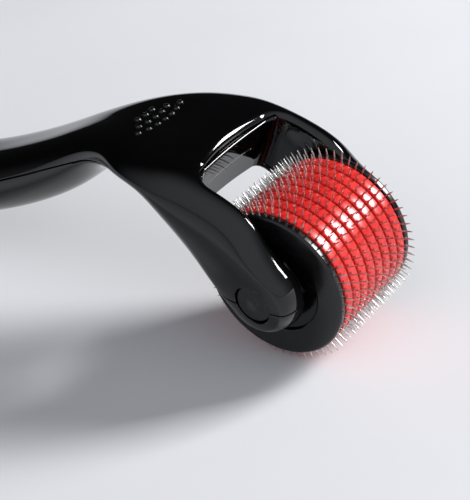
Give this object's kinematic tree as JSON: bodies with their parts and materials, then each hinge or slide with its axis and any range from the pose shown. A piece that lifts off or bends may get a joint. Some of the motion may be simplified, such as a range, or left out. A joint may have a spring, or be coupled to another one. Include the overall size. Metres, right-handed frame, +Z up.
{
  "type": "derma roller",
  "caption": "Hand-held derma roller: a curved two-shell black handle whose forked head carries a freely turning drum of red rings and steel needle rows.",
  "frame": {"origin": "on the surface that the roller lies on, under the middle of its bounding box", "axes": "+X from the handle's end towards the drum, +Y along the drum's axle towards the left arm, +Z up with the roller lying on its needles and the handle's end"},
  "size_m": [0.135, 0.0268, 0.0282],
  "materials": {
    "black_gloss_plastic": "high-gloss black moulded plastic with fine handling marks",
    "red_gloss_plastic": "glossy red moulded plastic",
    "axle_plastic": "satin black moulded plastic",
    "needle_steel": "bright drawn steel wire"
  },
  "bodies": {
    "handle": {"upper_shell": "black_gloss_plastic", "lower_shell": "black_gloss_plastic"},
    "drum": {"drum_axle": "axle_plastic", "right_end_cap": "black_gloss_plastic", "left_end_cap": "black_gloss_plastic", "ring_1": "red_gloss_plastic", "ring_2": "red_gloss_plastic", "ring_3": "red_gloss_plastic", "ring_4": "red_gloss_plastic", "ring_5": "red_gloss_plastic", "ring_6": "red_gloss_plastic", "ring_7": "red_gloss_plastic", "ring_8": "red_gloss_plastic", "needle_row_1": "needle_steel", "needle_row_2": "needle_steel", "needle_row_3": "needle_steel", "needle_row_4": "needle_steel", "needle_row_5": "needle_steel", "needle_row_6": "needle_steel", "needle_row_7": "needle_steel", "needle_row_8": "needle_steel", "needle_row_9": "needle_steel"}
  },
  "joints": [
    {"name": "drum_spin", "type": "hinge", "parent": "handle", "child": "drum", "pos_m": [0.056, 0, 0.0115], "axis": [0, 1, 0], "continuous": true}
  ]
}
